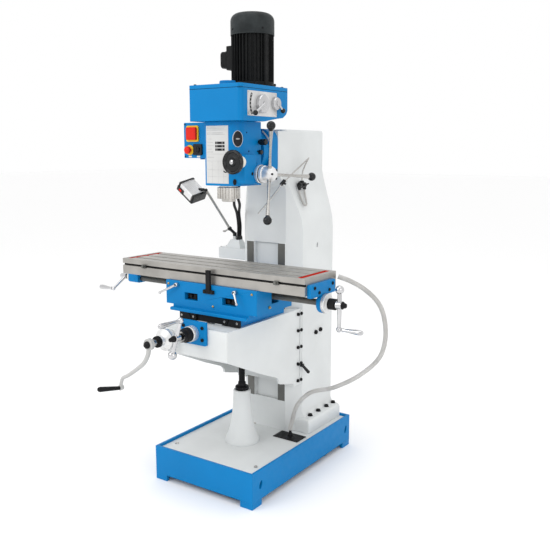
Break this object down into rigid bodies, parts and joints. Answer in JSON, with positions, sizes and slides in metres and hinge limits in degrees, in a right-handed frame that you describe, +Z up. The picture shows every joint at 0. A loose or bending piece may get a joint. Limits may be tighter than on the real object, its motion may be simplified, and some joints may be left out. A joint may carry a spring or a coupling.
{
  "type": "vertical milling machine",
  "caption": "Knee-type vertical milling machine: column and swivelling spindle head with motor, slotted table on cross slide and raisable knee, hand cranks, work lamp and coolant drain hose.",
  "frame": {"origin": "on the floor, under the middle of the whole machine without its hoses", "axes": "+Z up, +X to the operator's right along the table, +Y back from the operator to the column"},
  "size_m": [1.4, 1.144, 2.07],
  "materials": {
    "base_blue": "gloss machine enamel",
    "machine_white": "satin machine enamel, slightly textured",
    "dark_iron": "dark, semi matt",
    "black_enamel": "semi gloss",
    "steel": "turned",
    "chrome": "polished",
    "ground_iron": "ground",
    "plastic_black": "moulded",
    "plastic_red": "moulded",
    "hose": "translucent, aged",
    "conduit": "ribbed"
  },
  "bodies": {
    "frame": {"base_casting": "base_blue", "column": "machine_white", "screw_pedestal": "machine_white", "pedestal_nut": "dark_iron", "swivel_block": "base_blue", "electrical_box": "machine_white", "drain_plate": "dark_iron", "coolant_valve": "dark_iron", "coolant_hose": "hose", "conduit_left": "conduit", "conduit_right": "conduit", "drain_hose_lower": "hose"},
    "knee": {"knee_casting": "machine_white", "knee_gib": "machine_white", "cross_screw_bearing": "base_blue", "drain_hose_middle": "hose"},
    "elevating_screw": {"elevating_screw": "black_enamel"},
    "lift_crank": {"lift_shaft": "steel", "lift_crank": "machine_white"},
    "lift_grip": {"lift_grip": "plastic_black"},
    "knee_lock": {"knee_lock": "plastic_black"},
    "saddle": {"saddle_casting": "base_blue", "travel_stop": "black_enamel", "drain_hose_upper": "hose"},
    "table_lock_left": {"table_lock_left": "chrome"},
    "table_lock_right": {"table_lock_right": "chrome"},
    "cross_crank": {"cross_screw": "steel", "cross_crank": "chrome"},
    "cross_grip": {"cross_grip": "chrome"},
    "table": {"work_table": "ground_iron", "end_bracket_left": "base_blue", "end_bracket_right": "base_blue"},
    "table_screw": {"table_screw": "steel", "table_crank_right": "chrome", "table_crank_left": "chrome"},
    "table_grip_right": {"table_grip_right": "chrome"},
    "table_grip_left": {"table_grip_left": "chrome"},
    "head": {"head_casting": "base_blue", "gearbox_housing": "base_blue", "gearbox_lid": "base_blue", "motor_body": "dark_iron", "motor_cowl": "black_enamel", "control_plate": "base_blue"},
    "motor_shaft": {"motor_shaft": "steel"},
    "drive_gear": {"drive_gear": "steel"},
    "idler_gear": {"idler_gear": "steel"},
    "quill": {"quill": "steel"},
    "spindle": {"spindle": "steel"},
    "feed_hub": {"feed_hub": "chrome", "feed_lever_1": "chrome", "feed_lever_2": "chrome", "feed_lever_3": "chrome"},
    "fine_feed_wheel": {"fine_feed_wheel": "plastic_black"},
    "switch_cover": {"switch_cover": "plastic_red"},
    "stop_button": {"stop_button": "plastic_red"},
    "speed_selector_front": {"speed_selector_front": "chrome"},
    "speed_selector_rear": {"speed_selector_rear": "chrome"},
    "lamp_arm": {"lamp_arm": "steel"},
    "lamp_head": {"lamp_head": "plastic_black"},
    "coolant_nozzle": {"coolant_nozzle": "steel"}
  },
  "joints": [
    {"name": "knee_slide", "type": "slide", "parent": "frame", "child": "knee", "axis": [0, 0, 1], "range_m": [-0.14, 0.12], "deforming": ["drain_hose_lower"]},
    {"name": "elevating_screw_turn", "type": "hinge", "parent": "knee", "child": "elevating_screw", "pos_m": [0.035, 0.02595, 0.69], "axis": [0, 0, 1], "continuous": true},
    {"name": "lift_crank_turn", "type": "hinge", "parent": "knee", "child": "lift_crank", "pos_m": [-0.106, -0.42405, 0.69], "axis": [0, 1, 0], "continuous": true},
    {"name": "lift_grip_spin", "type": "hinge", "parent": "lift_crank", "child": "lift_grip", "pos_m": [-0.262, -0.45505, 0.479], "axis": [0, -0.9759, 0.2182], "continuous": true},
    {"name": "knee_lock_turn", "type": "hinge", "parent": "knee", "child": "knee_lock", "pos_m": [0.2, 0.26695, 0.48], "axis": [1, 0, 0], "range_deg": [-10, 60]},
    {"name": "saddle_slide", "type": "slide", "parent": "knee", "child": "saddle", "axis": [0, 1, 0], "range_m": [-0.1, 0.065], "deforming": ["drain_hose_middle"]},
    {"name": "table_lock_left_turn", "type": "hinge", "parent": "saddle", "child": "table_lock_left", "pos_m": [-0.143, -0.20905, 0.905], "axis": [0, 1, 0], "range_deg": [-15, 45]},
    {"name": "table_lock_right_turn", "type": "hinge", "parent": "saddle", "child": "table_lock_right", "pos_m": [0.178, -0.20905, 0.905], "axis": [0, 1, 0], "range_deg": [-45, 15]},
    {"name": "cross_crank_turn", "type": "hinge", "parent": "knee", "child": "cross_crank", "pos_m": [0.035, -0.41205, 0.735], "axis": [0, 1, 0], "continuous": true},
    {"name": "cross_grip_spin", "type": "hinge", "parent": "cross_crank", "child": "cross_grip", "pos_m": [0.0594, -0.42505, 0.81119], "axis": [0, 1, 0], "continuous": true},
    {"name": "table_slide", "type": "slide", "parent": "saddle", "child": "table", "axis": [1, 0, 0], "range_m": [-0.22, 0.22], "deforming": ["drain_hose_upper"]},
    {"name": "table_screw_turn", "type": "hinge", "parent": "table", "child": "table_screw", "pos_m": [0.035, -0.06405, 0.878], "axis": [1, 0, 0], "continuous": true},
    {"name": "table_grip_right_spin", "type": "hinge", "parent": "table_screw", "child": "table_grip_right", "pos_m": [0.606, -0.06405, 0.778], "axis": [1, 0, 0], "continuous": true},
    {"name": "table_grip_left_spin", "type": "hinge", "parent": "table_screw", "child": "table_grip_left", "pos_m": [-0.616, -0.14605, 0.828], "axis": [1, 0, 0], "continuous": true},
    {"name": "head_swivel", "type": "hinge", "parent": "frame", "child": "head", "pos_m": [0.035, 0.11295, 1.48], "axis": [0, 1, 0], "range_deg": [-25, 25], "deforming": ["conduit_left", "conduit_right"]},
    {"name": "drive_gear_turn", "type": "hinge", "parent": "head", "child": "drive_gear", "pos_m": [0.035, -0.05705, 1.65], "axis": [0, 0, 1], "continuous": true},
    {"name": "idler_gear_turn", "type": "hinge", "parent": "head", "child": "idler_gear", "pos_m": [0.035, 0.04545, 1.65], "axis": [0, 0, 1], "continuous": true},
    {"name": "motor_shaft_turn", "type": "hinge", "parent": "head", "child": "motor_shaft", "pos_m": [0.035, 0.12295, 1.85], "axis": [0, 0, 1], "continuous": true},
    {"name": "quill_slide", "type": "slide", "parent": "head", "child": "quill", "axis": [0, 0, -1], "range_m": [0, 0.11]},
    {"name": "spindle_turn", "type": "hinge", "parent": "quill", "child": "spindle", "pos_m": [0.035, -0.05705, 1.4], "axis": [0, 0, 1], "continuous": true},
    {"name": "feed_hub_turn", "type": "hinge", "parent": "head", "child": "feed_hub", "pos_m": [0.185, 0.00295, 1.386], "axis": [1, 0, 0], "range_deg": [-5, 320]},
    {"name": "fine_feed_turn", "type": "hinge", "parent": "head", "child": "fine_feed_wheel", "pos_m": [0.137, -0.14905, 1.438], "axis": [0, 1, 0], "continuous": true},
    {"name": "switch_cover_lift", "type": "hinge", "parent": "head", "child": "switch_cover", "pos_m": [-0.162, -0.05535, 1.593], "axis": [1, 0, 0], "range_deg": [-80, 0]},
    {"name": "stop_button_press", "type": "slide", "parent": "head", "child": "stop_button", "axis": [0, 1, 0], "range_m": [0, 0.004], "stiffness_N_per_m": 1500},
    {"name": "speed_selector_front_turn", "type": "hinge", "parent": "head", "child": "speed_selector_front", "pos_m": [0.173, -0.00905, 1.677], "axis": [1, 0, 0], "range_deg": [-60, 60]},
    {"name": "speed_selector_rear_turn", "type": "hinge", "parent": "head", "child": "speed_selector_rear", "pos_m": [0.173, 0.09295, 1.683], "axis": [1, 0, 0], "range_deg": [-60, 60]},
    {"name": "lamp_arm_turn", "type": "hinge", "parent": "frame", "child": "lamp_arm", "pos_m": [-0.233, 0.33195, 1.062], "axis": [0, 0, 1], "range_deg": [-40, 60]},
    {"name": "lamp_head_tilt", "type": "hinge", "parent": "lamp_arm", "child": "lamp_head", "pos_m": [-0.265, 0.15095, 1.298], "axis": [0, 1, 0], "range_deg": [-12, 12]},
    {"name": "coolant_nozzle_turn", "type": "hinge", "parent": "frame", "child": "coolant_nozzle", "pos_m": [0.174, 0.31595, 1.348], "axis": [0, 0, 1], "range_deg": [-15, 8]}
  ],
  "couplings": [
    {"joint": "elevating_screw_turn", "follows": "knee_slide", "rad_per_m": 785.4},
    {"joint": "lift_crank_turn", "follows": "knee_slide", "rad_per_m": 3141.6},
    {"joint": "cross_crank_turn", "follows": "saddle_slide", "rad_per_m": 1256.6},
    {"joint": "table_screw_turn", "follows": "table_slide", "rad_per_m": 1256.6},
    {"joint": "idler_gear_turn", "follows": "drive_gear_turn", "ratio": -1.4118},
    {"joint": "motor_shaft_turn", "follows": "drive_gear_turn", "ratio": 1.7143},
    {"joint": "spindle_turn", "follows": "drive_gear_turn", "ratio": 1},
    {"joint": "feed_hub_turn", "follows": "quill_slide", "rad_per_m": 50}
  ]
}
